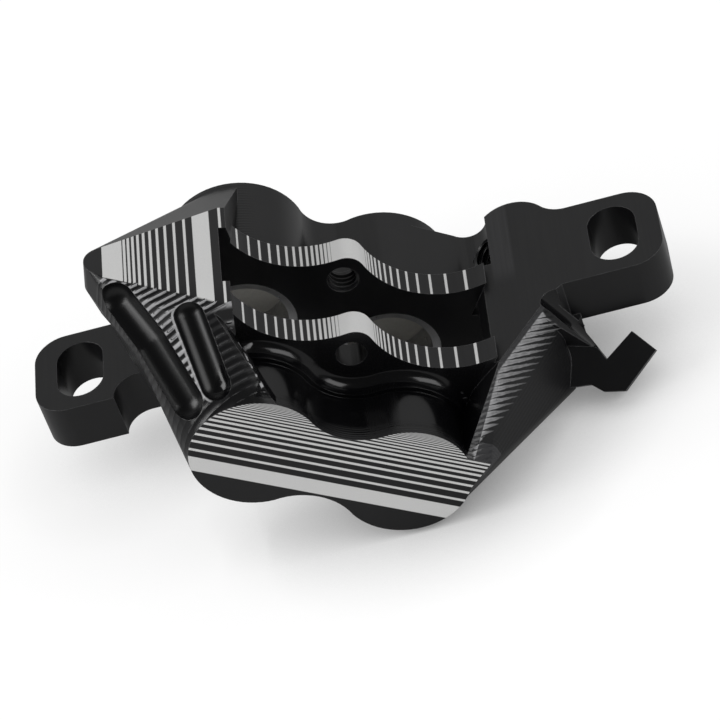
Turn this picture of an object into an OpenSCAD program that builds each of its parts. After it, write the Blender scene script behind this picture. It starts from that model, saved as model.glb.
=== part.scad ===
// Four-piston bicycle disc brake caliper, one-piece body for 74 mm post mounts.
// Millimetres. X runs along the two ears, Y from the wheel side to the frame side,
// Z up the mounting bolts. The origin is midway between the bolts on the ears' seat.
// The body also has a tilted frame: x along the line of pistons, y from the rotor's
// plane to the frame side, z away from the rotor's axle.

/* [Mounting ears] */
// Distance between the two mounting bolts
bolt_span = 74; // [70:0.5:80]
// Width of each bolt slot
bolt_slot_w = 6.5; // [6:0.1:7]
// Length of each bolt slot, along Y
bolt_slot_l = 10.5; // [8:0.1:12]
// Thickness of the ears
ear_t = 6.9; // [6:0.1:8]
// Wall of an ear beside its slot
ear_wall = 2.15; // [1.8:0.05:3]
// Wall of an ear past its slot
ear_end_wall = 3.1; // [2.5:0.05:4]
// Corner radius of the ears
ear_corner = 4.4; // [2:0.1:6]

/* [Body] */
// Tilt of the line of pistons against the ears, degrees
tilt = 33.6; // [30:0.1:36]
// Rotor plane, from the bolt line towards the wheel
rotor_y = 9.75; // [9:0.05:11]
// Distance between the two pistons of a side
piston_pitch = 20.3; // [19.5:0.1:21]
// Width of the pad slot
slot_w = 10.6; // [9:0.1:12]
// Length of the pad window
window_l = 37.1; // [36:0.1:39]
// Width of each rail beside the pad slot
rail_w = 4; // [3.6:0.1:5]
// Height of the rails over the line of pistons, in their valleys
rail_low = 11; // [10.5:0.1:11.5]
// Height of the rails over the line of pistons, at the pad pin
rail_high = 14.5; // [14:0.1:15]
// Half height of the waist between two lobes
waist = 5.3; // [4.5:0.1:6]
// Length of the nose past the window
nose_l = 17.6; // [16:0.1:19]
// Fall of the nose, degrees
nose_fall = 19; // [15:0.5:23]
// Thickness of the nose
nose_t = 4; // [3:0.1:5]
// Radius of the nose's tip
nose_r = 2.6; // [2:0.1:3]
// Thickness of the hook
hook_t = 3; // [2:0.1:3.5]
// Diameter of the rotor that the channel clears
rotor_d = 180; // [160:1:203]
// Height of the rotor's edge over the line of pistons
rotor_top = 8; // [7:0.1:8.2]
// Room between the rotor's edge and the channel
rotor_gap = 1.2; // [0.8:0.1:1.5]

/* [Bores and holes] */
// Diameter of the piston bores
bore_d = 14; // [13.6:0.1:14.4]
// Depth of the piston bores, from the pad slot
bore_depth = 12; // [11.7:0.1:13]
// Wall round a wheel-side bore
wheel_wall = 1.7; // [1.5:0.1:2]
// Floor that closes a wheel-side bore
wheel_floor = 2.4; // [2:0.1:3]
// Diameter of the pad pin's plain hole
pin_d = 4; // [3.6:0.1:4.2]
// Tapping diameter of the pad pin's threaded hole
pin_tap_d = 4.2; // [3.8:0.1:4.4]
// Height of the pad pin over the line of pistons
pin_up = 10.7; // [10.5:0.1:11]
// Tapping diameter of the hose port
port_d = 4.2; // [3.8:0.1:4.4]
// Depth of the hose port
port_l = 4.5; // [4:0.1:5]
// Diameter of the oil drillings
oil_d = 1.6; // [1.2:0.1:1.7]

/* [Pistons, seals and caps] */
// Radial clearance of a piston in its bore
piston_clear = 0.05; // [0.02:0.01:0.09]
// Length of a piston
piston_l = 9.6; // [9:0.1:9.7]
// Wall of a piston cup
piston_wall = 1.1; // [0.8:0.1:1.5]
// Floor of a piston cup
piston_floor = 1.2; // [0.9:0.1:1.5]
// Thickness of the insulator in a cup
insulator_t = 1; // [0.8:0.1:2]
// How far a retracted piston sits behind the slot's wall
piston_rest = 0.5; // [0.3:0.1:0.6]
// Radial clearance of a seal on its piston
seal_clear = 0.03; // [0.02:0.01:0.08]
// Depth of the seal grooves
groove_t = 1.4; // [1.2:0.1:1.6]
// Width of the pressure seals
seal_w = 1.8; // [1.5:0.1:2]
// Width of the wiper seals
wiper_w = 1; // [0.8:0.1:1.2]
// Step from a bore out to its cap's thread
cap_step = 1; // [0.8:0.1:1.2]
// Length of the caps
cap_l = 4; // [3.6:0.1:4.6]
// Recess of the caps in the rim
cap_recess = 0.4; // [0.2:0.1:0.8]
// Wall round a cap
cap_wall = 1.5; // [1.3:0.1:2]
// Thickness of the caps' O-rings
ring_t = 1; // [0.8:0.1:1.2]

/* [Hidden] */
$fn = 72;
hull_fn = 32;
// how far a hollow round cuts into the round or flat that it runs out in
lap = 0.03;
// where the tilted frame's origin lies over the bolts' midpoint
mid_x = -4.35;
mid_z = 5.53;
half_slot = slot_w / 2;
half_window = window_l / 2;
half_pitch = piston_pitch / 2;
rail_y = half_slot + rail_w;
// pistons, seals and caps along a bore, from the rotor's plane
bore_r = bore_d / 2;
piston_r = bore_r - piston_clear;
cup_r = piston_r - piston_wall;
groove_r = bore_r + groove_t;
seal_gap = 0.9;
wiper_at = half_slot + 1.1;
seal_at = wiper_at + wiper_w + seal_gap;
piston_at = half_slot + piston_rest;
bore_end = half_slot + bore_depth;
oil_at = piston_at + piston_l + 0.1 + oil_d / 2;
cap_r = bore_r + cap_step;
cap_at = bore_end + 1.6;
ring_at = 0.6;
// lobes round the bores
wheel_r = bore_r + wheel_wall;
frame_r = cap_r + cap_wall;
wheel_end = bore_end + wheel_floor;
frame_end = cap_at + cap_l + cap_recess;
ledge_r = wheel_r + 0.4;
ledge_l = 2.2;
ledge_c = 1.6;
// the rails' wave: a bump over the pad pin between two valleys
bump_r = 2.5;
valley_x = 9.5;
valley_up = rail_high - bump_r - rail_low;
valley_r = (pow(valley_x, 2) + pow(valley_up, 2) - pow(bump_r, 2)) / (2 * (bump_r + valley_up));
bump_a = atan2(valley_x, valley_r - valley_up);
rail_end = rail_low + valley_r - sqrt(pow(valley_r, 2) - pow(half_window - valley_x, 2));
// the wheel-side flank beside the rail
flank_x = half_window + 8.6;
flank_y = rail_y + 1.2;
// ears, web and boss
ear_w = bolt_slot_l + 2 * ear_wall;
ear_end = bolt_span / 2 + bolt_slot_w / 2 + ear_end_wall;
neck_y = rotor_y - half_slot - 0.75;
web_x = to_ears([half_window, 0, rail_end])[0];
web_z = -2.5;
web_run = 7.7;
web_y = rotor_y - 0.75;
boss_r = 5;
boss_x = web_x + 4.5;
boss_y = 6.2;
boss_wall = web_x + 0.9;
boss_fillet = 4;
seat_x = web_x + web_run + 2;
// the round hollow at the boss, and the slope from the frame-side lobe down to it
hollow_r = 2.9;
hollow_at = [boss_wall - hollow_r, ear_t - 1.4];
lobe_at = [to_ears([half_pitch, 0, 0])[0], to_ears([half_pitch, 0, 0])[2]];
slope_way = hollow_at - lobe_at;
// the hose port points into the hollow's middle, at 45 degrees
port_end = hollow_r + port_l;
slope_a = atan2(slope_way[1], slope_way[0]) + acos((frame_r - lap + hollow_r) / norm(slope_way));
short_pocket_r = 2.1;
long_pocket_r = 2.6;
corner_r = 1.85;

// a point of the tilted frame, in the ears' frame
function to_ears(p) = [mid_x + p[0] * cos(tilt) + p[2] * sin(tilt), p[1] - rotor_y,
    mid_z - p[0] * sin(tilt) + p[2] * cos(tilt)];

module tilted() {
    translate([mid_x, -rotor_y, mid_z]) rotate([0, tilt, 0]) children();
}

// a flat shape of the tilted frame's x and z, drawn out from y = a to y = b
module across(a, b) {
    translate([0, b, 0]) rotate([90, 0, 0]) linear_extrude(height = b - a) children();
}

// one bore, with z from the rotor's plane outwards; side -1 is the wheel's, end -1 the left
module at_bore(side, end) {
    tilted() translate([end * half_pitch, 0, 0]) rotate([-90 * side, 0, 0]) children();
}

module drilling(p, q, d) {
    way = q - p;
    long = norm(way);
    translate(p) rotate([0, acos(way[2] / long), atan2(way[1], way[0])])
        cylinder(h = long, d = d, $fn = 24);
}

// radius of the round waist that joins two lobes of radius r, h from the middle line
function waist_r(r, h) = (pow(half_pitch, 2) + h * h - r * r) / (2 * (r - h));

module two_lobes(r, h) {
    f = waist_r(r, h);
    join_x = half_pitch * f / (r + f);
    join_z = r * (h + f) / (r + f);
    difference() {
        union() {
            for (s = [-1, 1]) translate([s * half_pitch, 0]) circle(r);
            square([2 * join_x, 2 * join_z], center = true);
        }
        for (s = [-1, 1]) translate([0, s * (h + f)]) circle(f + lap);
    }
}

module rail_shape() {
    bump_x = bump_r * sin(bump_a);
    difference() {
        translate([-half_window, -2]) square([window_l, rail_end + 2]);
        for (s = [-1, 1]) translate([s * valley_x, rail_low + valley_r]) circle(valley_r, $fn = 120);
        difference() {
            translate([-bump_x, rail_high - bump_r + bump_r * cos(bump_a)]) square([2 * bump_x, 4]);
            translate([0, rail_high - bump_r]) circle(bump_r);
        }
    }
}

// one half of the nose: a plate that narrows and falls away from the window
module nose_half(side) {
    tip = nose_r - nose_l;
    translate([-half_window, 0, rail_end]) rotate([0, -nose_fall, 0]) translate([0, 0, -nose_t])
        linear_extrude(height = nose_t) intersection() {
            union() {
                polygon([[1, -rail_y], [1, rail_y], [0, rail_y], [tip, nose_r], [tip, -nose_r],
                    [0, -rail_y]]);
                translate([tip, 0]) circle(nose_r, $fn = hull_fn);
            }
            translate([-2 * nose_l, side < 0 ? -2 * rail_y : 0]) square([3 * nose_l, 2 * rail_y]);
        }
}

// the wheel-side flank where it passes the rail's outer wall
module flank_section() {
    across(-flank_y, 1 - flank_y) polygon([[3 - half_window, rail_low - 0.6],
        [-half_window - 1, rail_end - 1.2], [3.9 - flank_x, rail_end - 3.1],
        [0.8 - flank_x, rail_end - 6.3], [-flank_x, rail_end - 8.7],
        [0.6 - flank_x, rail_end - 11.1], [-half_pitch - wheel_r - 1.2, -4.5], [-half_pitch - 4, -4.5]]);
}

// the outer part of a left lobe, cut off at a given distance past the bore's middle
module lobe_end(r, out) {
    intersection() {
        translate([-half_pitch, 0]) circle(r, $fn = hull_fn);
        translate([-half_pitch - out - 2 * r, -r]) square([2 * r, 2 * r]);
    }
}

// flanks that tie the nose to the left lobes
module left_flanks() {
    hull() {
        nose_half(-1);
        flank_section();
    }
    hull() {
        flank_section();
        across(-wheel_end, 1.6 - wheel_end) lobe_end(wheel_r, 0);
    }
    hull() {
        nose_half(1);
        across(frame_end - 3, frame_end - 1) lobe_end(frame_r, 3);
    }
}

// a round fillet between the wheel-side rail's outer wall and the lobes under it
module ledge_fillet(r, h, c) {
    f = waist_r(r, h);
    b = atan2(h + f, half_pitch);
    end_a = 20;
    mid = c - lap;
    translate([0, -rail_y, 0]) rotate([90, 0, 0]) {
        for (s = [0, 1]) mirror([s, 0, 0]) translate([half_pitch, 0, 0]) rotate([0, 0, end_a])
            rotate_extrude(angle = 180 - b - end_a) difference() {
                translate([r - 0.2, -0.1]) square([c + 0.2, c + 0.1]);
                translate([r + mid, mid]) circle(c, $fn = 40);
            }
        translate([0, h + f, 0]) rotate([0, 0, b - 180])
            rotate_extrude(angle = 180 - 2 * b) difference() {
                translate([f - c, -0.1]) square([c + 0.2, c + 0.1]);
                translate([f - mid, mid]) circle(c, $fn = 40);
            }
    }
}

// the wheel-side flank under the right web
module right_flank() {
    hull() {
        tilted() across(-wheel_end, 1.6 - wheel_end) translate([half_pitch, 0])
            polygon([[6.2, 5.8], [9.7, 5.8], [8.5, 1], [7.5, -4], [3.8, -4]]);
        translate([0, 0, ear_t - 1]) linear_extrude(height = 1)
            polygon([[web_x, -rail_y - rotor_y], [web_x + web_run, -web_y], [web_x + 3, -web_y],
                [web_x, -half_slot - rotor_y]]);
        tilted() translate([half_window + 13, -1.8, rail_end - 7.9]) sphere(d = 4, $fn = hull_fn);
    }
}

// the right web under the ears' top plane, and the boss for the hose port
module right_web() {
    translate([0, 0, web_z]) linear_extrude(height = ear_t - web_z) {
        polygon([[web_x - 2, -rail_y - rotor_y], [web_x, -rail_y - rotor_y], [web_x + web_run, -web_y],
            [seat_x, -ear_w / 2], [seat_x, ear_w / 2], [boss_wall, ear_w / 2], [boss_wall, 0],
            [web_x - 2, 0]]);
        intersection() {
            translate([boss_x, boss_y]) circle(boss_r);
            translate([boss_wall, 0]) square(3 * boss_r);
        }
    }
}

// ties the frame-side lobe to the boss, with a round hollow between them
module right_tie() {
    normal = [cos(slope_a), sin(slope_a)];
    under = web_z - 2.5;
    across(half_slot - rotor_y, boss_y + boss_r + 0.4) difference() {
        polygon([lobe_at, lobe_at + (frame_r - lap) * normal, hollow_at - hollow_r * normal, hollow_at,
            hollow_at + [hollow_r, 0], [boss_wall + 1, 2], [boss_wall + 1, under], [lobe_at[0], under]]);
        translate(hollow_at) circle(hollow_r + lap);
    }
}

// an ear's outline from x = inner out to its rounded end
module ear_shape(inner) {
    straight = ear_w - 2 * ear_corner;
    for (s = [-1, 1]) translate([ear_end - ear_corner, s * straight / 2]) circle(ear_corner);
    translate([inner, -ear_w / 2]) square([ear_end - ear_corner - inner, ear_w]);
    translate([inner, -straight / 2]) square([ear_end - inner, straight]);
}

// both ears; the left one stands on a narrower neck that passes beside the rotor
module ears() {
    left_in = bolt_span / 2 - 4;
    fillet_up = ear_w / 2 + boss_fillet;
    fillet_at = [boss_x + sqrt(pow(boss_r + boss_fillet, 2) - pow(fillet_up - boss_y, 2)), fillet_up];
    linear_extrude(height = ear_t) {
        ear_shape(web_x + web_run);
        mirror([1, 0]) ear_shape(left_in);
        translate([-left_in, -neck_y]) square([left_in + mid_x - half_pitch + 5, neck_y + ear_w / 2]);
        difference() {
            translate([-left_in - 0.5, -ear_w / 2]) square([4.5, ear_w / 2]);
            translate([4 - left_in, -ear_w / 2 + 0.2]) circle(ear_w / 2 - 0.2 - neck_y);
        }
        difference() {
            polygon([[boss_x, boss_y], fillet_at, [fillet_at[0], 0], [boss_x, 0]]);
            translate(fillet_at) circle(boss_fillet);
        }
    }
}

module bolt_slot() {
    reach = (bolt_slot_l - bolt_slot_w) / 2;
    for (y = [-reach, reach]) translate([0, y]) circle(d = bolt_slot_w);
    square([bolt_slot_w, 2 * reach], center = true);
}

// the open hook past the web, in a plane turned towards the wheel side, cut clear of the right seat
module hook() {
    difference() {
        translate([web_x + 4.7, -web_y + 0.5, 0]) rotate([45, 0, 0]) translate([0, 0, -hook_t])
            linear_extrude(height = hook_t) polygon([[0, 5], [3, 5.2], [6.2, 1.4], [6.2, -1], [8.1, -5.2],
                [12.2, -2.4], [14.7, -5.6], [9.5, -9.9], [6.7, -9.3], [5.3, -8], [2.6, -7.7], [0, -6]]);
        translate([seat_x, -ear_w / 2 - 0.3, -ear_w]) cube(ear_w);
    }
}

// fills the corner between the web, the right ear and the hook, clear of the right seat
module corner_block() {
    hull() for (p = [[0.2, 0.6, ear_t - 0.3], [-1.2, -2.2, ear_t - 1.7], [4.3, web_y - ear_w / 2 - 0.4, -0.5],
        [3.6, -1.7, -2.2], [-3, 0, ear_t - 0.3], [-3, 0, -2.2]])
        translate([web_x + web_run, -web_y, 0] + p) cube(lap, center = true);
}

// the round hollow down that corner
module corner_hollow() {
    top = [web_x + web_run + 1.1, -web_y - 0.9, ear_t - 0.5];
    run = [3.6, 0.5, -ear_t - 0.6];
    drilling(top - 0.25 * run, top + 1.25 * run, 2 * corner_r);
}

// everything that the rotor's channel passes through
module body_core() {
    tilted() {
        across(-rail_y, rail_y) {
            rail_shape();
            two_lobes(wheel_r + 0.7, waist + 0.6);
        }
        across(-rail_y - ledge_l, -half_slot) two_lobes(ledge_r, waist + 0.3);
        ledge_fillet(ledge_r, waist + 0.3, ledge_c);
        across(1.4 - wheel_end, -half_slot) two_lobes(wheel_r - 0.3, waist - 0.3);
        across(-wheel_end, 1.5 - wheel_end) two_lobes(wheel_r, waist);
        across(half_slot, frame_end) two_lobes(frame_r, waist);
        left_flanks();
    }
    right_flank();
    right_web();
    right_tie();
}

// the pad window, and the channel that the rotor turns in
module pad_and_rotor_room() {
    tilted() {
        translate([-half_window, -half_slot, -2 * frame_r]) cube([window_l, slot_w, 4 * frame_r]);
        translate([0, 0, rotor_top - rotor_d / 2]) rotate([90, 0, 0])
            cylinder(h = slot_w, r = rotor_d / 2 + rotor_gap, center = true, $fn = 240);
    }
}

// bores with their seal grooves, and the frame side's open ends for the caps
module bores() {
    for (side = [-1, 1], end = [-1, 1]) at_bore(side, end) {
        cylinder(h = side < 0 ? bore_end : cap_at, r = bore_r);
        translate([0, 0, wiper_at]) cylinder(h = wiper_w, r = groove_r);
        translate([0, 0, seal_at]) cylinder(h = seal_w, r = groove_r);
    }
    for (end = [-1, 1]) at_bore(1, end) translate([0, 0, cap_at]) cylinder(h = cap_l + 5, r = cap_r);
}

// pad pin holes, hose port and bolt slots
module small_holes() {
    tilted() {
        translate([0, 1 - half_slot, pin_up]) rotate([90, 0, 0])
            cylinder(h = rail_w + 3, d = pin_d, $fn = 40);
        translate([0, half_slot - 1, pin_up]) rotate([-90, 0, 0])
            cylinder(h = rail_w + 3, d = pin_tap_d, $fn = 40);
    }
    translate([hollow_at[0], boss_y, hollow_at[1]]) rotate([0, 135, 0])
        cylinder(h = port_end, d = port_d, $fn = 40);
    for (s = [-1, 1]) translate([s * bolt_span / 2, 0, -1]) linear_extrude(height = ear_t + 2) bolt_slot();
}

// oil ways between the bores of a side, and over the rotor to the hose port's floor
module oil_ways() {
    over = [web_x + 3, -rotor_y - 2, 1.6];
    port_floor = (port_end + 0.3) * sin(45);
    under = [hollow_at[0] + port_floor, boss_y, hollow_at[1] - port_floor];
    tilted() for (side = [-1, 1])
        drilling([1 - half_pitch, side * oil_at, 0], [half_pitch - 1, side * oil_at, 0], oil_d);
    drilling(to_ears([half_pitch + 6, -oil_at, 2.5]), over, oil_d);
    drilling(over, under, oil_d);
    drilling(under, to_ears([half_pitch + 6, oil_at, 2.5]), oil_d);
    for (p = [over, under]) translate(p) sphere(d = oil_d + 0.6, $fn = 32);
}

// a pocket cut with a ball-ended tool, through the points in turn
module ball_cut(points, ball_r) {
    for (p = points) translate(p) sphere(ball_r + lap, $fn = 36);
    for (i = [1 : len(points) - 1]) drilling(points[i - 1], points[i], 2 * ball_r);
}

// a point over the wheel-side flank, from the point s of its section towards the lobe's rim at angle a:
// run is the share of the way, and out the height over the straight line between them
function over_flank(s, a, run, out) = [
    s[0] - run * (half_pitch + wheel_r * cos(a) + s[0]) - out * cos(a),
    -flank_y - run * (wheel_end - flank_y),
    s[1] + run * (wheel_r * sin(a) - s[1]) + out * sin(a)];

// the two pockets in the wheel-side flank; the longer one starts under the nose
module flank_pockets() {
    long_at = [0.5 - flank_x, rail_end - 7.2];
    long_start = [-half_window - 0.715 * nose_l, 3 - rail_y, rail_end - 0.345 * nose_l];
    short_at = [-half_window - 3.6, rail_end - 2.6];
    tilted() {
        ball_cut([long_start, over_flank(long_at, 20, 0.08, 0.9), over_flank(long_at, 20, 0.77, 1)],
            long_pocket_r);
        ball_cut([over_flank(short_at, 46, 0.01, 1), over_flank(short_at, 46, 0.78, 1)], short_pocket_r);
    }
}

// the machined body: two halves of bores, bridged over the rotor by the nose and the web
module caliper_body() {
    color("#26262a") difference() {
        union() {
            difference() {
                body_core();
                pad_and_rotor_room();
            }
            ears();
            hook();
            corner_block();
        }
        bores();
        small_holes();
        oil_ways();
        flank_pockets();
        corner_hollow();
    }
}

// a steel cup, open towards the pad, whose floor takes the oil's pressure
module piston(side, end) {
    color("#b9bcc0") at_bore(side, end) translate([0, 0, piston_at]) difference() {
        cylinder(h = piston_l, r = piston_r);
        translate([0, 0, -1]) cylinder(h = piston_l - piston_floor + 1, r = cup_r);
    }
}

// a disc pressed to the floor of the cup, which keeps the pad's heat from the oil
module insulator(side, end) {
    color("#e8e2d2") at_bore(side, end) translate([0, 0, piston_at + piston_l - piston_floor - insulator_t])
        cylinder(h = insulator_t, r = cup_r);
}

// a square-cut rubber ring that fills its groove
module groove_ring(side, end, at, w) {
    at_bore(side, end) translate([0, 0, at]) difference() {
        cylinder(h = w, r = groove_r);
        translate([0, 0, -1]) cylinder(h = w + 2, r = piston_r + seal_clear);
    }
}

// the inner ring, which holds the pressure and pulls the piston back
module pressure_seal(side, end) {
    color("#151515") groove_ring(side, end, seal_at, seal_w);
}

// the outer ring, which keeps dust off the piston
module wiper(side, end) {
    color("#202020") groove_ring(side, end, wiper_at, wiper_w);
}

// a screwed cap that closes a frame-side bore, with two holes for a pin spanner
module bore_cap(end) {
    color("#303036") at_bore(1, end) translate([0, 0, cap_at]) difference() {
        cylinder(h = cap_l, r = cap_r);
        translate([0, 0, ring_at]) difference() {
            cylinder(h = ring_t, r = cap_r + 1);
            translate([0, 0, -1]) cylinder(h = ring_t + 2, r = cap_r - ring_t);
        }
        for (s = [-1, 1]) translate([s * cap_r * 0.55, 0, cap_l - 2]) cylinder(h = 3, d = 2.2, $fn = 32);
    }
}

// the O-ring in a cap's groove
module cap_o_ring(end) {
    color("#101010") at_bore(1, end) translate([0, 0, cap_at + ring_at + ring_t / 2])
        rotate_extrude() translate([cap_r - ring_t / 2, 0]) circle(d = ring_t, $fn = 24);
}

caliper_body();
piston(-1, -1);  // wheel_left_piston
piston(-1, 1);  // wheel_right_piston
piston(1, -1);  // frame_left_piston
piston(1, 1);  // frame_right_piston
insulator(-1, -1);  // wheel_left_insulator
insulator(-1, 1);  // wheel_right_insulator
insulator(1, -1);  // frame_left_insulator
insulator(1, 1);  // frame_right_insulator
pressure_seal(-1, -1);  // wheel_left_seal
pressure_seal(-1, 1);  // wheel_right_seal
pressure_seal(1, -1);  // frame_left_seal
pressure_seal(1, 1);  // frame_right_seal
wiper(-1, -1);  // wheel_left_wiper
wiper(-1, 1);  // wheel_right_wiper
wiper(1, -1);  // frame_left_wiper
wiper(1, 1);  // frame_right_wiper
bore_cap(-1);  // left_cap
bore_cap(1);  // right_cap
cap_o_ring(-1);  // left_cap_ring
cap_o_ring(1);  // right_cap_ring
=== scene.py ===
from math import cos, e, log, pi, radians, sin

import bmesh
import bpy
from mathutils import Matrix, Vector
from mathutils.bvhtree import BVHTree
from mathutils.geometry import intersect_point_line


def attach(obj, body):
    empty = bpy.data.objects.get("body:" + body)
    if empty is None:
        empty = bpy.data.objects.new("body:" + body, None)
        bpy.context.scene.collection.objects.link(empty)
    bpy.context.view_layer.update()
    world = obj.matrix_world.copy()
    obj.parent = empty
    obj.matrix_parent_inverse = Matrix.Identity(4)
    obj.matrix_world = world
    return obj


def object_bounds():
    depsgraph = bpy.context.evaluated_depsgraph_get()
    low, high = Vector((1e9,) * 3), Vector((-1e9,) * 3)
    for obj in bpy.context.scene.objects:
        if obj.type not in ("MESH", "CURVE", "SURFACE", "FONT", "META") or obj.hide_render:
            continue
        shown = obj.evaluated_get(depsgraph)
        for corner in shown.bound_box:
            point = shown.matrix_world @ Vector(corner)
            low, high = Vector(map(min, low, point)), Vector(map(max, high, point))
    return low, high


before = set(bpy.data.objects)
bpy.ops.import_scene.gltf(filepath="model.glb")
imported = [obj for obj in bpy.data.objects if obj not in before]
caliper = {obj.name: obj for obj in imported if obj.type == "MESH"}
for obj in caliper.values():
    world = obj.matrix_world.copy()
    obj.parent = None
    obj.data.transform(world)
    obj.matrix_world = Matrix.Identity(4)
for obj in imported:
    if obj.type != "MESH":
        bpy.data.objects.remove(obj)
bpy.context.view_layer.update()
MM = 0.001

# The caliper body: one block of aluminium, milled all over and anodised black. The flat tops are satin with
# fine cutter lines, the hollows cut with a ball-ended tool are glossy, and light stripes are burnt into the
# colour by a laser.


class Shade:
    """A socket of the finish being made. An expression on values adds the Math nodes that it needs."""

    tree = None

    def __init__(self, socket):
        self.socket = socket

    @staticmethod
    def node(kind, settings=None, inputs=None, out=0):
        made = Shade.tree.nodes.new(kind)
        for name, value in (settings or {}).items():
            setattr(made, name, value)
        for name, value in (inputs or {}).items():
            if isinstance(value, Shade):
                Shade.tree.links.new(value.socket, made.inputs[name])
            else:
                made.inputs[name].default_value = value
        return Shade(made.outputs[out])

    @staticmethod
    def math(operation, first, second=0.0):
        return Shade.node("ShaderNodeMath", {"operation": operation}, {0: first, 1: second})

    def __add__(self, other):
        return Shade.math("ADD", self, other)

    def __radd__(self, other):
        return Shade.math("ADD", other, self)

    def __sub__(self, other):
        return Shade.math("SUBTRACT", self, other)

    def __rsub__(self, other):
        return Shade.math("SUBTRACT", other, self)

    def __mul__(self, other):
        return Shade.math("MULTIPLY", self, other)

    def __rmul__(self, other):
        return Shade.math("MULTIPLY", other, self)

    def __truediv__(self, other):
        return Shade.math("DIVIDE", self, other)

    def __neg__(self):
        return Shade.math("MULTIPLY", self, -1)

    def __abs__(self):
        return Shade.math("ABSOLUTE", self)

    def __or__(self, other):
        """The larger of two values, which joins two masks."""
        return Shade.math("MAXIMUM", self, other)

    def log(self):
        over_nothing = Shade.math("MAXIMUM", self, 1e-4)
        return Shade.math("LOGARITHM", over_nothing, e)

    def wave(self):
        return Shade.math("SINE", self * (2 * pi))

    def off_whole(self):
        """How far a value lies from the nearest whole number."""
        return abs(self - Shade.math("ROUND", self))

    def above(self, low, soft):
        """1 where a value is over low, 0 under it, with an edge as wide as soft."""
        return Shade.node("ShaderNodeMapRange", {"interpolation_type": "SMOOTHSTEP"},
                          {"Value": self, "From Min": low - soft / 2, "From Max": low + soft / 2})

    def below(self, high, soft):
        return 1 - self.above(high, soft)

    def within(self, low, high, soft):
        return self.above(low, soft) * self.below(high, soft)


def dot(first, second):
    return Shade.node("ShaderNodeVectorMath", {"operation": "DOT_PRODUCT"}, {0: first, 1: second}, "Value")


def length(first, second):
    return Shade.node("ShaderNodeVectorMath", {"operation": "DISTANCE"}, {0: first, 1: second}, "Value")


def mix_colour(share, first, second):
    return Shade.node("ShaderNodeMix", {"data_type": "RGBA"}, {0: share, 6: first, 7: second}, 2)


def new_finish(name):
    finish = bpy.data.materials.new(name)
    finish.use_nodes = True
    Shade.tree = finish.node_tree
    return finish, Shade.tree.nodes["Principled BSDF"]


def place(vector_type="POINT", location=(0, 0, 0), rotation=(0, 0, 0), scale=(1000, 1000, 1000)):
    """Object coordinates, in millimetres unless the scale says otherwise."""
    coordinates = Shade.node("ShaderNodeTexCoord", out="Object")
    return Shade.node("ShaderNodeMapping", {"vector_type": vector_type},
                      {"Vector": coordinates, "Location": location, "Rotation": rotation, "Scale": scale})


def split(vector):
    parts = Shade.tree.nodes.new("ShaderNodeSeparateXYZ")
    Shade.tree.links.new(vector.socket, parts.inputs[0])
    return [Shade(socket) for socket in parts.outputs]


def noise(vector, scale, detail):
    return Shade.node("ShaderNodeTexNoise", None, {"Vector": vector, "Scale": scale, "Detail": detail})


def feed(surface, **sockets):
    for name, value in sockets.items():
        socket = surface.inputs[name.replace("_", " ")]
        if isinstance(value, Shade):
            Shade.tree.links.new(value.socket, socket)
        else:
            socket.default_value = value


def bump(height_mm, normal=None):
    inputs = {"Height": height_mm, "Distance": MM, "Strength": 1.0}
    if normal is not None:
        inputs["Normal"] = normal
    return Shade.node("ShaderNodeBump", None, inputs)


def rounded_corners(radius_mm):
    """The normal with its corners rounded, and a mask of the corners, where a highlight is painted."""
    corners = Shade.node("ShaderNodeBevel", {"samples": 4}, {"Radius": radius_mm * MM})
    turned = dot(corners, Shade.node("ShaderNodeNewGeometry", out="Normal"))
    return corners, turned.below(0.95, soft=0.06)


def smooth_rounds(piece):
    """Joins a solid's loose triangles and shades its rounds smoothly, with a crease at each sharp edge."""
    crease = radians(25)
    weld = piece.modifiers.new("weld", "WELD")
    weld.merge_threshold = 0.002 * MM
    group = bpy.data.node_groups.get("smooth rounds")
    if group is None:
        group = bpy.data.node_groups.new("smooth rounds", "GeometryNodeTree")
        group.interface.new_socket("Geometry", in_out="INPUT", socket_type="NodeSocketGeometry")
        group.interface.new_socket("Geometry", in_out="OUTPUT", socket_type="NodeSocketGeometry")
        start = group.nodes.new("NodeGroupInput")
        faces = group.nodes.new("GeometryNodeSetShadeSmooth")
        turn = group.nodes.new("GeometryNodeInputMeshEdgeAngle")
        over = group.nodes.new("FunctionNodeCompare")
        over.operation = "GREATER_THAN"
        over.inputs["B"].default_value = crease
        creases = group.nodes.new("GeometryNodeSetShadeSmooth")
        creases.domain = "EDGE"
        creases.inputs["Shade Smooth"].default_value = False
        end = group.nodes.new("NodeGroupOutput")
        group.links.new(start.outputs[0], faces.inputs["Geometry"])
        group.links.new(turn.outputs["Unsigned Angle"], over.inputs["A"])
        group.links.new(faces.outputs[0], creases.inputs["Geometry"])
        group.links.new(over.outputs[0], creases.inputs["Selection"])
        group.links.new(creases.outputs[0], end.inputs[0])
    piece.modifiers.new("smooth rounds", "NODES").node_group = group
    weighted = piece.modifiers.new("broad faces first", "WEIGHTED_NORMAL")
    weighted.keep_sharp = True
    weighted.weight = 80


def dress(node_name, finish):
    node_object = caliper[node_name]
    node_object.data.materials.clear()
    node_object.data.materials.append(finish)
    smooth_rounds(node_object)


def stripes(distance, first, step, growth, width, fill=1.0):
    """Lines whose spacing starts at step and grows by a constant factor with the distance from the first.
    None is wider than the given share of the spacing."""
    reach = step / (growth - 1)
    count = ((distance - first) / reach + 1).log() / log(growth)
    spacing = (distance - first + reach) * log(growth)
    half = Shade.math("MINIMUM", spacing * (fill / 2), width / 2)
    return (count.off_whole() * spacing - half).below(0.0, LINE_EDGE)


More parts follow.
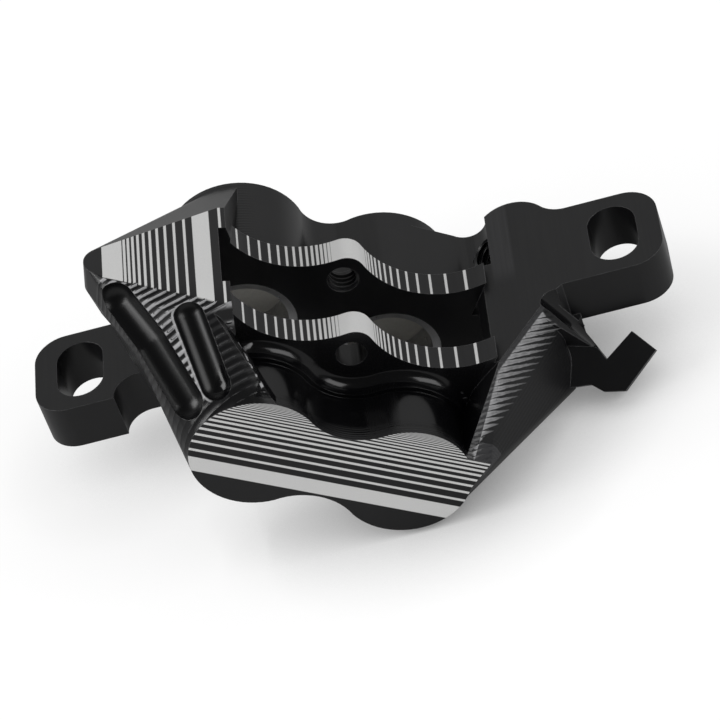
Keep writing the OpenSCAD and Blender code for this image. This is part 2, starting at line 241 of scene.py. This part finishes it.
def from_line(spot, start, end):
    """Distance of a place from a straight line between two points."""
    run = Vector(end) - Vector(start)
    offset = Shade.node("ShaderNodeVectorMath", {"operation": "SUBTRACT"}, {0: spot, 1: start})
    share = Shade.node("ShaderNodeMapRange", None,
                       {"Value": dot(offset, run), "From Max": run.length_squared})
    foot = Shade.node("ShaderNodeVectorMath", {"operation": "SCALE"}, {0: run, "Scale": share})
    return length(offset, foot)


def cusps(distance, step):
    """The passes of a ball-ended tool: round valleys with a sharp ridge between them, from 0 to 1."""
    off = (distance / step).off_whole()
    return off * off * 4


TILT = radians(33.6)
BORE_ROW = (-4.35 * MM, -9.75 * MM, 5.53 * MM)
NOSE_FALL = radians(19)
WEB_TOP = 6.9
LEVEL = 0.98

body_finish, surface = new_finish("black anodised")
mm = place()
x, y, z = split(mm)
tilted = place("TEXTURE", BORE_ROW, (0, TILT, 0), (MM, MM, MM))
along, across, up = split(tilted)
facing = Shade.node("ShaderNodeTexCoord", out="Normal")
faces_across = dot(facing, (0, 1, 0))
faces_up = dot(facing, (sin(TILT), 0, cos(TILT)))
faces_nose = dot(facing, (sin(TILT - NOSE_FALL), 0, cos(TILT - NOSE_FALL)))
faces_top = dot(facing, (0, 0, 1))
faces_left = dot(facing, (-1, 0, 0))
grain = noise(mm, scale=9.0, detail=4.0)
cloud = noise(mm, scale=0.25, detail=2.0)
shake = noise(mm, scale=1.1, detail=2.0)
streak = noise(place(scale=(3000, 90, 3000)), scale=1.0, detail=3.0)
flat_top = faces_top.above(LEVEL, soft=0.02)

# The laser's stripes on the rails, the nose and the wheel-side plate
LINE = 0.32
LINE_EDGE = 0.08
RAIL_IN = 5.3
RAIL_OUT = 9.3
SKIN = 0.1
RAIL_END = 18.7
RAIL_FOOT = 10.6
RAIL_FACING = 0.3
RIGHT_LINES_FROM = 2
LEFT_LINES = (-16, -2)
RAIL_BAND = (-2.4, 2.1)
RAIL_LAST_LINE = (-18.46, -18.14)
PIN_UP = 10.7
PIN_RIM = 2.3
NOSE_START = -18.3
NOSE_FOOT = 6
NOSE_LINES = (-30.7, -22.2)
NOSE_BANDS = ((-32.9, -30.5), (-21.7, -19.6))
PLATE_AT = -19.7
PLATE_FACING = -0.95
PLATE_TOP = 9.44
PLATE_LINE = 0.38
PLATE_LINES_FOOT = -1.7
PLATE_BAND = (-4.85, -2.5)

pin_axis = Shade.node("ShaderNodeCombineXYZ", None, {1: across, 2: PIN_UP})
on_rail = abs(across).within(RAIL_IN - SKIN, RAIL_OUT + SKIN, soft=0.02)
on_rail = on_rail * faces_up.above(RAIL_FACING, soft=0.1) * abs(along).below(RAIL_END, soft=0.1)
on_rail = on_rail * up.above(RAIL_FOOT, soft=0.2) * (1 - length(tilted, pin_axis).below(PIN_RIM, soft=0.1))
right_lines = stripes(along, first=4.2, step=0.7, growth=1.16, width=LINE)
right_lines = right_lines * along.above(RIGHT_LINES_FROM, soft=0.1)
left_lines = stripes(-along, first=2.6, step=0.4, growth=1.135, width=LINE)
left_lines = left_lines * along.within(*LEFT_LINES, soft=0.1)
rail_bands = along.within(*RAIL_BAND, LINE_EDGE) | along.within(*RAIL_LAST_LINE, LINE_EDGE)
rail_mark = right_lines | left_lines | rail_bands
on_nose = faces_nose.above(LEVEL, soft=0.02) * along.below(NOSE_START, soft=0.05)
on_nose = on_nose * up.above(NOSE_FOOT, soft=0.1)
nose_mark = stripes(along, first=-30.6, step=0.45, growth=1.12, width=LINE)
nose_mark = nose_mark * along.within(*NOSE_LINES, soft=0.05)
for band in NOSE_BANDS:
    nose_mark = nose_mark | along.within(*band, LINE_EDGE)
on_plate = faces_across.below(PLATE_FACING, soft=0.02) * across.below(PLATE_AT + SKIN, soft=0.05)
plate_mark = stripes(PLATE_TOP - up, first=10.74, step=1.676, growth=1.156, width=PLATE_LINE, fill=0.5)
plate_mark = plate_mark * up.above(PLATE_LINES_FOOT, soft=0.05) | up.within(*PLATE_BAND, LINE_EDGE)
mark = on_rail * rail_mark | on_nose * nose_mark | on_plate * plate_mark

# The hollows cut with a ball-ended tool, and the sloped flanks beside them
HOLLOW_EDGE = 0.06
SHORT_R = 2.16
LONG_R = 2.66
GROOVE_R = 1.91
SHORT_POCKET = ((-22.79, -10.59, 13.1), (-18.2, -17.68, 8.34))
LONG_POCKET = ((-31.13, -6.3, 8.98), (-26.83, -11.24, 7.77), (-21.18, -17.58, 4.44))
GROOVE = ((27.33, -10.03, 8.28), (32.73, -9.28, -2.98))
FLANK_LEAN = (-0.9, -0.25)
LEFT_START = -13
LEFT_INNER = -3
RIGHT_SPAN = (13.5, 28.0)
RIGHT_INNER = -0.5
RIGHT_TOP = WEB_TOP - 0.1
LEDGE_OUTER = -19
LEDGE_END = 17.5

from_short = from_line(tilted, *SHORT_POCKET)
pocket = from_short.below(SHORT_R, HOLLOW_EDGE)
pocket = pocket | from_line(tilted, *LONG_POCKET[:2]).below(LONG_R, HOLLOW_EDGE)
pocket = pocket | from_line(tilted, *LONG_POCKET[1:]).below(LONG_R, HOLLOW_EDGE)
sloped = faces_across.within(*FLANK_LEAN, soft=0.1)
left_flank = along.below(LEFT_START, soft=0.5) * across.below(LEFT_INNER, soft=0.2) * sloped
left_flank = left_flank * (1 - pocket) * (1 - on_nose)
right_flank = x.within(*RIGHT_SPAN, soft=0.5) * across.below(RIGHT_INNER, soft=0.5) * sloped
right_flank = right_flank * z.below(RIGHT_TOP, soft=0.1)
ledge = across.within(LEDGE_OUTER, -RAIL_OUT, soft=0.2) * abs(along).below(LEDGE_END, soft=0.5)
ledge = ledge * (1 - left_flank) * (1 - right_flank)
groove = from_line(mm, *GROOVE).below(GROOVE_R, HOLLOW_EDGE)

# The bright crests on the left flank, which show most between the two pockets: highlights painted on the
# crests and along the rib beside the short pocket
LEFT_PASS = 1.0
LEFT_SLANT = 0.39
LEFT_SHAKE = 0.12
LEFT_DEPTH = 0.06
SHORT_LEAN = 0.647
SHORT_LEFT = -29.64
UNDER_NOSE = -10.0
LIT_OUTER = -18.0
TURNED_AWAY = 0.3
RIB_LEFT = -30.0
RIB_WIDTH = 0.3

short_side = along + SHORT_LEAN * across
left_of_short = short_side.below(SHORT_LEFT, soft=1.0) | across.above(UNDER_NOSE, soft=1.5)
left_lit = faces_left.below(TURNED_AWAY, soft=0.4) * across.above(LIT_OUTER, soft=1.0)
left_lit = left_lit * (0.04 + 0.96 * left_of_short)
left_crests = left_flank * cusps(across - LEFT_SLANT * along + shake * LEFT_SHAKE, LEFT_PASS)
rib_edge = left_flank * from_short.within(SHORT_R, SHORT_R + RIB_WIDTH, soft=0.1)
rib_edge = rib_edge * short_side.below(RIB_LEFT, soft=0.5)
# Painted highlights on the crests, stronger on their lit side, and on the rib's edge.
painted_highlights = left_lit * left_crests.above(0.3, soft=0.4) * (0.5 + 0.5 * shake) | rib_edge * 0.6

# The leaf-shaped crests along the top of the right flank, with painted highlights which fade downwards, and a
# painted sheen on the strip above them
DIAGONAL = 0.7071
RIGHT_PASS = 0.745
LEAF_TOP = 6.3
LEAF_FALL = 0.6
LEAF_BEND = -20
LEAF_FOOT = 1.8
LEAF_INNER = -11.0
LEAF_SPAN = (0.02, 1.0)
LEAF_HALF = 0.46
LEAF_TAPER = 0.42
LEAF_DIM = 0.7
LEAF_SHAKE = 0.25
LEAF_DEPTH = 0.25

leaf_top = LEAF_TOP + LEAF_FALL * Shade.math("MINIMUM", y - LEAF_BEND, 0.0)
fade = (leaf_top - z) / (leaf_top - LEAF_FOOT)
leaf = ((y + z) * (DIAGONAL / RIGHT_PASS) + shake * LEAF_SHAKE).off_whole()
leaves = right_flank * (leaf + LEAF_TAPER * fade).below(LEAF_HALF, soft=0.16) * y.below(LEAF_INNER, soft=0.3)
leaves = leaves * fade.within(*LEAF_SPAN, soft=0.05) * (1 - LEAF_DIM * fade)
# Painted highlights on the leaves, brighter towards the top of the flank.
painted_highlights = painted_highlights | leaves * (0.25 + 0.5 * shake + 0.5 * leaf)
# Painted sheen on the strip above the leaves, where the flank turns towards the top.
strip_sheen = right_flank * fade.below(0.0, soft=0.04)

# The fine lines of the cutter, each as the height that it leaves
FINE_LINES = 1.9
FINE_DEPTH = 0.005
RIM_INNER = -17.0
RIM_LINES = 2.6
RIM_DEPTH = 0.006
LOBE_START = RAIL_OUT + 0.3
LOBE_END = -12.0
LOBE_FOOT = 7.5
LOBE_LINES = 1.9
LOBE_DEPTH = 0.007
WEB_START = 10.0
WEB_DEPTH = 0.008
GRAIN_DEPTH = 0.0015

fine = right_flank * fade.above(0.4, soft=0.4) * (z * FINE_LINES).wave() * FINE_DEPTH
plate_rim = across.within(PLATE_AT, RIM_INNER, soft=0.2) * (1 - left_flank) * (1 - on_plate)
plate_rim = plate_rim * (across * RIM_LINES).wave() * RIM_DEPTH
far_lobe = across.above(LOBE_START, soft=0.3) * along.below(LOBE_END, soft=3.0) * z.above(LOBE_FOOT, soft=0.5)
far_lobe = far_lobe * (across * LOBE_LINES).wave() * LOBE_DEPTH
web_top = flat_top * x.above(WEB_START, soft=2.0) * streak * WEB_DEPTH
leaf_cut = right_flank * leaf * leaf * fade.below(0.5, soft=0.6) * LEAF_DEPTH
height = left_crests * LEFT_DEPTH - leaf_cut + fine + plate_rim + far_lobe + web_top + grain * GRAIN_DEPTH

# The colours: black, painted sheen on the boss, painted highlights on corners and on the left flank's edge
DEEP_BLACK = (0.0035, 0.0035, 0.004, 1)
PALE_BLACK = (0.0065, 0.0065, 0.0072, 1)
GLOSSY_BLACK = (0.002, 0.002, 0.0024, 1)
SHEEN = (0.03, 0.03, 0.032, 1)
HIGHLIGHT = (0.5, 0.5, 0.51, 1)
DARK_BURN = (0.54, 0.54, 0.54, 1)
PALE_BURN = (0.68, 0.68, 0.67, 1)
GLINT_R = 0.2
GLINT_EDGE = ((-16.6, -10.2, 12.0), (-14.2, -15.2, 10.95), (-11.9, -18.3, 9.5))
BOSS_STRIP = (20.3, 23.3)
BOSS_FRONT = -3.0
BOSS_FOOT = WEB_TOP - 0.4

# Painted highlights on the corners, where the rounded normal turns away from the face.
corners, corner_highlight = rounded_corners(radius_mm=0.14)
corner_highlight = corner_highlight * (1 - pocket) * (1 - ledge)
# Painted highlights in a jagged line along the left flank's edge.
edge_glint = from_line(tilted, *GLINT_EDGE[:2]).below(GLINT_R, soft=0.12)
edge_glint = edge_glint | from_line(tilted, *GLINT_EDGE[1:]).below(GLINT_R, soft=0.12)
edge_glint = edge_glint * shake.above(0.5, soft=0.12)
# Painted sheen on a strip of the boss's top.
boss_strip = flat_top * x.within(*BOSS_STRIP, soft=0.5) * y.above(BOSS_FRONT, soft=4.0)
boss_strip = boss_strip * z.above(BOSS_FOOT, soft=0.1)
black = mix_colour(cloud, DEEP_BLACK, PALE_BLACK)
black = mix_colour(pocket | ledge | groove, black, GLOSSY_BLACK)
black = mix_colour(strip_sheen | boss_strip * streak, black, SHEEN)
# The painted highlights, on the crests, the corners and the left flank's edge, in a pale grey.
highlighted_black = mix_colour(painted_highlights | corner_highlight * 0.3 * shake | edge_glint * 0.7, black, HIGHLIGHT)
burnt = mix_colour(grain, DARK_BURN, PALE_BURN)
feed(surface, Base_Color=mix_colour(mark, highlighted_black, burnt),
     Roughness=0.3 + 0.3 * mark + flat_top * (0.04 + 0.16 * streak) - 0.14 * (ledge | groove),
     Normal=bump(height, corners))
dress("caliper_body", body_finish)

# The ridges on the flanks: what the ball-ended tool leaves standing between its passes, so they have the
# body's finish. Each is a slim closed bar, laid along the face that a ray finds there and sunk a little
# into it.
SUNK = 0.03
RAY_FROM = 80
RAY_STEP = 0.1
SAME_FACE = 0.98
LEFT_TURNS = range(-20, 20)
LEFT_ENDS = (-34, -12)
LEFT_OUTER = -19.4
LEFT_LEAST = 1.0
LEFT_HALF = 0.3
LEFT_HIGH = 0.09
LEFT_TIP = 0.03
LEFT_TIP_SHARE = 0.2
RIGHT_TURNS = range(-40, 10)
RIGHT_RAYS = 200
RIGHT_FACING = Vector((0.73, -0.56, 0.38)).normalized()
RIGHT_LEAST = 8
RIGHT_HALF = 0.44
RIGHT_RISE = 0.22
RIGHT_SHOULDER = 8

row_middle = Vector(BORE_ROW) / MM
along_axis = Vector((cos(TILT), 0, -sin(TILT)))
across_axis = Vector((0, 1, 0))
up_axis = Vector((sin(TILT), 0, cos(TILT)))
body_copy = bmesh.new()
body_copy.from_mesh(caliper["caliper_body"].data)
walls = BVHTree.FromBMesh(body_copy)
body_copy.free()


def on_body(start, direction):
    """Where a ray meets the body, in millimetres, and the way that the face lies."""
    spot, lie = walls.ray_cast(Vector(start) * MM, Vector(direction))[:2]
    return (spot / MM, lie) if spot else None


def off_segment(spot, start, end):
    share = intersect_point_line(spot, start, end)[1]
    return (spot - Vector(start).lerp(end, min(max(share, 0), 1))).length


def on_left_flank(along_at, across_at):
    """The place on the left flank over a spot of the bores' plane, unless it is in a pocket."""
    if not LEFT_OUTER < across_at < LEFT_INNER:
        return None
    over = row_middle + along_axis * along_at + across_axis * across_at
    found = on_body(over + up_axis * RAY_FROM, -up_axis)
    if not found or not FLANK_LEAN[0] < found[1].y < FLANK_LEAN[1]:
        return None
    spot = Vector((along_at, across_at, (found[0] - row_middle).dot(up_axis)))
    pockets = ((SHORT_POCKET, SHORT_R), (LONG_POCKET[:2], LONG_R), (LONG_POCKET[1:], LONG_R))
    clear = min(off_segment(spot, *line) - radius for line, radius in pockets)
    return found if clear > RAY_STEP else None


def on_right_flank(y_at, z_at, fade_at):
    """The place on the right flank beside a spot, where a leaf-shaped crest shows."""
    if y_at > LEAF_INNER or not LEAF_SPAN[0] < fade_at < LEAF_SPAN[1]:
        return None
    found = on_body((RAY_FROM, y_at, z_at), (-1, 0, 0))
    return found if found and found[1].dot(RIGHT_FACING) > SAME_FACE else None


def stretches(row):
    """Splits a row of places into the stretches that lie on one face."""
    stretch = []
    for found in row + [None]:
        if stretch and (found is None or found[1].dot(stretch[0][1]) < SAME_FACE):
            yield stretch
            stretch = []
        if found is not None:
            stretch.append(found)


def add_ridge(build, lie, sections):
    """One ridge: the hull of its sections, each a place with half its width and the height of its crest."""
    side = lie.cross(sections[-1][0] - sections[0][0]).normalized()
    points = []
    for spot, half, high in sections:
        foot = spot - lie * SUNK
        section = (foot + side * half, foot - side * half, spot + lie * high)
        points += [build.verts.new(point * MM) for point in section]
    hull = bmesh.ops.convex_hull(build, input=points)
    inside = set(hull["geom_interior"] + hull["geom_unused"])
    bmesh.ops.delete(build, geom=list(inside), context="VERTS")


def body_piece(name, build):
    """A piece of the body that the solids leave out, with the body's finish."""
    bmesh.ops.recalc_face_normals(build, faces=build.faces)
    mesh = bpy.data.meshes.new(name)
    build.to_mesh(mesh)
    build.free()
    mesh.materials.append(body_finish)
    piece = bpy.data.objects.new(name, mesh)
    bpy.context.scene.collection.objects.link(piece)
    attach(piece, "caliper")
    return piece


build = bmesh.new()
for turn in LEFT_TURNS:
    row = []
    for count in range(int((LEFT_ENDS[1] - LEFT_ENDS[0]) / RAY_STEP)):
        along_at = LEFT_ENDS[0] + count * RAY_STEP
        row.append(on_left_flank(along_at, (turn + 0.5) * LEFT_PASS + LEFT_SLANT * along_at))
    for stretch in stretches(row):
        first = stretch[0][0]
        last = stretch[-1][0]
        if (last - first).length > LEFT_LEAST:
            risen = first.lerp(last, LEFT_TIP_SHARE)
            falling = first.lerp(last, 1 - LEFT_TIP_SHARE)
            add_ridge(build, stretch[len(stretch) // 2][1],
                      ((first, LEFT_TIP, 0), (risen, LEFT_HALF, LEFT_HIGH),
                       (falling, LEFT_HALF, LEFT_HIGH), (last, LEFT_TIP, 0)))
body_piece("left_ridges", build)

build = bmesh.new()
for turn in RIGHT_TURNS:
    sections = []
    for count in range(RIGHT_RAYS):
        z_at = RIGHT_TOP - count * RAY_STEP
        y_at = turn * RIGHT_PASS / DIAGONAL - z_at
        top_at = LEAF_TOP + LEAF_FALL * min(y_at - LEAF_BEND, 0)
        fade_at = (top_at - z_at) / max(top_at - LEAF_FOOT, RAY_STEP)
        found = on_right_flank(y_at, z_at, fade_at)
        if found:
            spot, lie = found
            half = (RIGHT_HALF - LEAF_TAPER * fade_at) * RIGHT_PASS
            sections.append((spot, half, half * RIGHT_RISE))
    if len(sections) > RIGHT_LEAST:
        shoulder = sections[len(sections) // RIGHT_SHOULDER]
        add_ridge(build, lie, (sections[0], shoulder, sections[-1]))
body_piece("right_ridges", build)

# The threads of the two tapped bores, M5 for the pad pin and for the hose: cut by a tap into the body, so
# they have its finish. Each is the crest between the thread's turns, a closed helical ridge on the wall of
# the bore.
PITCH = 0.8
TAPPED_R = 2.1
CREST_RISE = 0.35
CREST_R = TAPPED_R - CREST_RISE * PITCH
ROOT_R = TAPPED_R + SUNK
THREAD_PROFILE = ((ROOT_R, 0.1), (CREST_R, 0.38), (CREST_R, 0.5), (ROOT_R, 0.78))
TURN_STEPS = 32


def thread(name, start, axis, run):
    """A helical ridge on a bore's wall, from the point where the bore starts. Lengths are in millimetres."""
    start = Vector(start)
    axis = Vector(axis).normalized()
    side = axis.orthogonal().normalized()
    steps = int((run / PITCH - 1) * TURN_STEPS)
    build = bmesh.new()
    ring = [build.verts.new((start + side * r + axis * (turn * PITCH)) * MM) for r, turn in THREAD_PROFILE]
    sides = [build.edges.new((ring[corner - 1], ring[corner])) for corner in range(len(ring))]
    bmesh.ops.spin(build, geom=ring + sides, cent=start * MM, axis=axis, steps=steps,
                   angle=2 * pi * steps / TURN_STEPS, dvec=axis * (PITCH / TURN_STEPS * MM))
    ends = [edge for edge in build.edges if edge.is_boundary]
    bmesh.ops.holes_fill(build, edges=ends, sides=len(ring))
    smooth_rounds(body_piece(name, build))


thread("pin_thread", start=(1.571, -4.45, 14.442), axis=(0, 1, 0), run=4.0)
thread("hose_thread", start=(18.87, 6.2, 4.06), axis=(1, 0, -1), run=5.36)

# The wipers and pressure seals: square rings of black rubber, two to each bore. They are pressed into the
# grooves of the bores, where the wiper keeps dirt out and the seal holds the oil.
BORES = ("wheel_left", "wheel_right", "frame_left", "frame_right")
DARK_RUBBER = (0.012, 0.012, 0.012, 1)
PALE_RUBBER = (0.03, 0.03, 0.03, 1)
RUBBER_DEPTH = 0.01

rubber_finish, surface = new_finish("seal rubber")
grain = noise(place(), scale=3.0, detail=3.0)
feed(surface, Base_Color=mix_colour(grain, DARK_RUBBER, PALE_RUBBER), Roughness=0.55 + 0.25 * grain,
     Normal=bump(grain * RUBBER_DEPTH))
for bore in BORES:
    dress(bore + "_seal", rubber_finish)
    dress(bore + "_wiper", rubber_finish)

# The pistons: cups turned from stainless steel, open towards the pads. They slide in the seals, and the oil
# behind them pushes all four out together.
BORE_ALONG = 10.15
DARK_STEEL = (0.5, 0.5, 0.51, 1)
PALE_STEEL = (0.66, 0.66, 0.66, 1)
FACE_PASSES = 4.0
WALL_PASSES = 5.0
TURNED_DEPTH = 0.002


def from_bore():
    """Distance from the axis of the nearest bore, and the place along it, in millimetres."""
    along, across, up = split(place("TEXTURE", BORE_ROW, (0, TILT, 0), (MM, MM, MM)))
    aside = abs(along) - BORE_ALONG
    return Shade.math("SQRT", aside * aside + up * up), across


steel_finish, surface = new_finish("turned stainless")
grain = noise(place(), scale=1.2, detail=4.0)
radius, depth = from_bore()
passes = (radius * FACE_PASSES).wave() + (depth * WALL_PASSES).wave()
feed(surface, Base_Color=mix_colour(grain, DARK_STEEL, PALE_STEEL), Metallic=1.0,
     Roughness=0.22 + 0.16 * grain, Normal=bump(passes * TURNED_DEPTH))
for bore in BORES:
    dress(bore + "_piston", steel_finish)

# The insulators: discs of pale moulded phenolic, pressed onto the floors of the piston cups. They keep the
# heat of the pads from the oil.
DARK_PHENOLIC = (0.7, 0.68, 0.62, 1)
PALE_PHENOLIC = (0.86, 0.84, 0.78, 1)
PHENOLIC_DEPTH = 0.02

phenolic_finish, surface = new_finish("phenolic")
grain = noise(place(), scale=2.2, detail=5.0)
feed(surface, Base_Color=mix_colour(grain, DARK_PHENOLIC, PALE_PHENOLIC), Roughness=0.5 + 0.2 * grain,
     Normal=bump(grain * PHENOLIC_DEPTH))
for bore in BORES:
    dress(bore + "_insulator", phenolic_finish)

# The bore caps: discs turned from black anodised aluminium, with two holes for a pin spanner. Each is screwed
# into the frame side over an O-ring of the seals' rubber.
DARK_CAP = (0.005, 0.005, 0.006, 1)
PALE_CAP = (0.011, 0.011, 0.012, 1)
CAP_PASSES = 3.0
CAP_DEPTH = 0.003

cap_finish, surface = new_finish("turned cap")
grain = noise(place(), scale=1.5, detail=4.0)
passes = (from_bore()[0] * CAP_PASSES).wave()
# Painted highlights on the cap's corners.
corners, corner_highlight = rounded_corners(radius_mm=0.12)
black = mix_colour(grain, DARK_CAP, PALE_CAP)
feed(surface, Base_Color=mix_colour(corner_highlight * grain * 0.4, black, HIGHLIGHT),
     Roughness=0.26 + 0.1 * grain + 0.05 * passes, Normal=bump(passes * CAP_DEPTH, corners))
for side in ("left", "right"):
    dress(side + "_cap", cap_finish)
    dress(side + "_cap_ring", rubber_finish)

# The studio: a pale table in a soft grey room, with a softbox on either side. The table glows for the camera,
# so that it looks white, and a contact shadow is painted into its glow close under the body.
TABLE_HALF = 3.0
TABLE_GAP = 0.0002
TABLE_PALE = (0.9, 0.9, 0.9, 1)
WHITE = (1, 1, 1, 1)
CONTACT = 0.015
ROOM_DARK = 0.07
ROOM_BACK = 0.42
ROOM_LIGHT = 0.55
SOFTBOX_SIDE = 0.4


def seen(by_camera, in_gloss):
    rays = Shade.tree.nodes.new("ShaderNodeLightPath")
    names = ("Is Camera Ray", "Is Glossy Ray", "Is Transmission Ray")
    camera_ray, glossy_ray, through_ray = [Shade(rays.outputs[name]) for name in names]
    return camera_ray * by_camera | (glossy_ray | through_ray) * in_gloss


table_mesh = bpy.data.meshes.new("table")
build = bmesh.new()
bmesh.ops.create_grid(build, x_segments=2, y_segments=2, size=TABLE_HALF,
                      matrix=Matrix.Translation((0, 0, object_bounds()[0][2] - TABLE_GAP)))
build.to_mesh(table_mesh)
build.free()
table = bpy.data.objects.new("table", table_mesh)
bpy.context.scene.collection.objects.link(table)
table_finish, surface = new_finish("pale table")
Shade.tree.nodes.remove(surface)
lit = Shade.node("ShaderNodeBsdfDiffuse", None, {"Color": TABLE_PALE})
# The glow is darkened close under the body: a painted contact shadow.
open_sky = Shade.node("ShaderNodeAmbientOcclusion", {"samples": 8}, {"Distance": CONTACT}, "AO")
glow = seen(by_camera=1.2, in_gloss=0.25) * open_sky
white = Shade.node("ShaderNodeEmission", None, {"Color": WHITE, "Strength": glow})
both = Shade.node("ShaderNodeMixShader", None, {0: seen(by_camera=0.54, in_gloss=0.8), 1: lit, 2: white})
Shade.tree.links.new(both.socket, Shade.tree.nodes["Material Output"].inputs["Surface"])
table_mesh.materials.append(table_finish)

world = bpy.data.worlds.new("studio")
world.use_nodes = True
bpy.context.scene.world = world
Shade.tree = world.node_tree
ray_y, ray_z = split(Shade.node("ShaderNodeTexCoord", out="Generated"))[1:]
glossy_ray = Shade.node("ShaderNodeLightPath", out="Is Glossy Ray")
room = ROOM_DARK + ROOM_BACK * ray_y.above(0.45, soft=0.7) * (0.6 + 0.4 * ray_z.above(0.3, soft=0.6))
room = glossy_ray * room + (1 - glossy_ray) * ROOM_LIGHT
feed(Shade.tree.nodes["Background"], Color=WHITE, Strength=room)


def softbox(name, location, watts):
    lamp = bpy.data.lights.new(name, "AREA")
    lamp.shape = "SQUARE"
    lamp.size = SOFTBOX_SIDE
    lamp.energy = watts
    box = bpy.data.objects.new(name, lamp)
    box.location = location
    box.rotation_euler = (-Vector(location)).to_track_quat("-Z", "Y").to_euler()
    bpy.context.scene.collection.objects.link(box)


softbox("left softbox", (-0.55, -0.1, 0.36), watts=2.2)
softbox("right softbox", (0.55, -0.2, 0.34), watts=1.3)

# The camera: a long lens on the wheel side, looking down on the caliper and rolled to one side. Its place was
# worked out from the photograph.
AZIMUTH = 0.16141
ELEVATION = 0.72264
ROLL = 0.35552
DISTANCE = 520.155 * MM
TARGET = Vector((1.201, -12.0, 6.741)) * MM
SENSOR = 36
FOCAL_LENGTH = 198.0
NEAREST = 0.01

back = Vector((sin(AZIMUTH) * cos(ELEVATION), -cos(AZIMUTH) * cos(ELEVATION), sin(ELEVATION)))
level = Vector((cos(AZIMUTH), sin(AZIMUTH), 0))
upright = back.cross(level)
right = cos(ROLL) * level - sin(ROLL) * upright
top = sin(ROLL) * level + cos(ROLL) * upright
lens = bpy.data.cameras.new("camera")
lens.sensor_width = SENSOR
lens.lens = FOCAL_LENGTH
lens.clip_start = NEAREST
camera = bpy.data.objects.new("camera", lens)
camera.matrix_world = Matrix((right, top, back)).transposed().to_4x4()
camera.location = TARGET + DISTANCE * back
bpy.context.scene.collection.objects.link(camera)
bpy.context.scene.camera = camera
bpy.context.scene.view_settings.view_transform = "Standard"
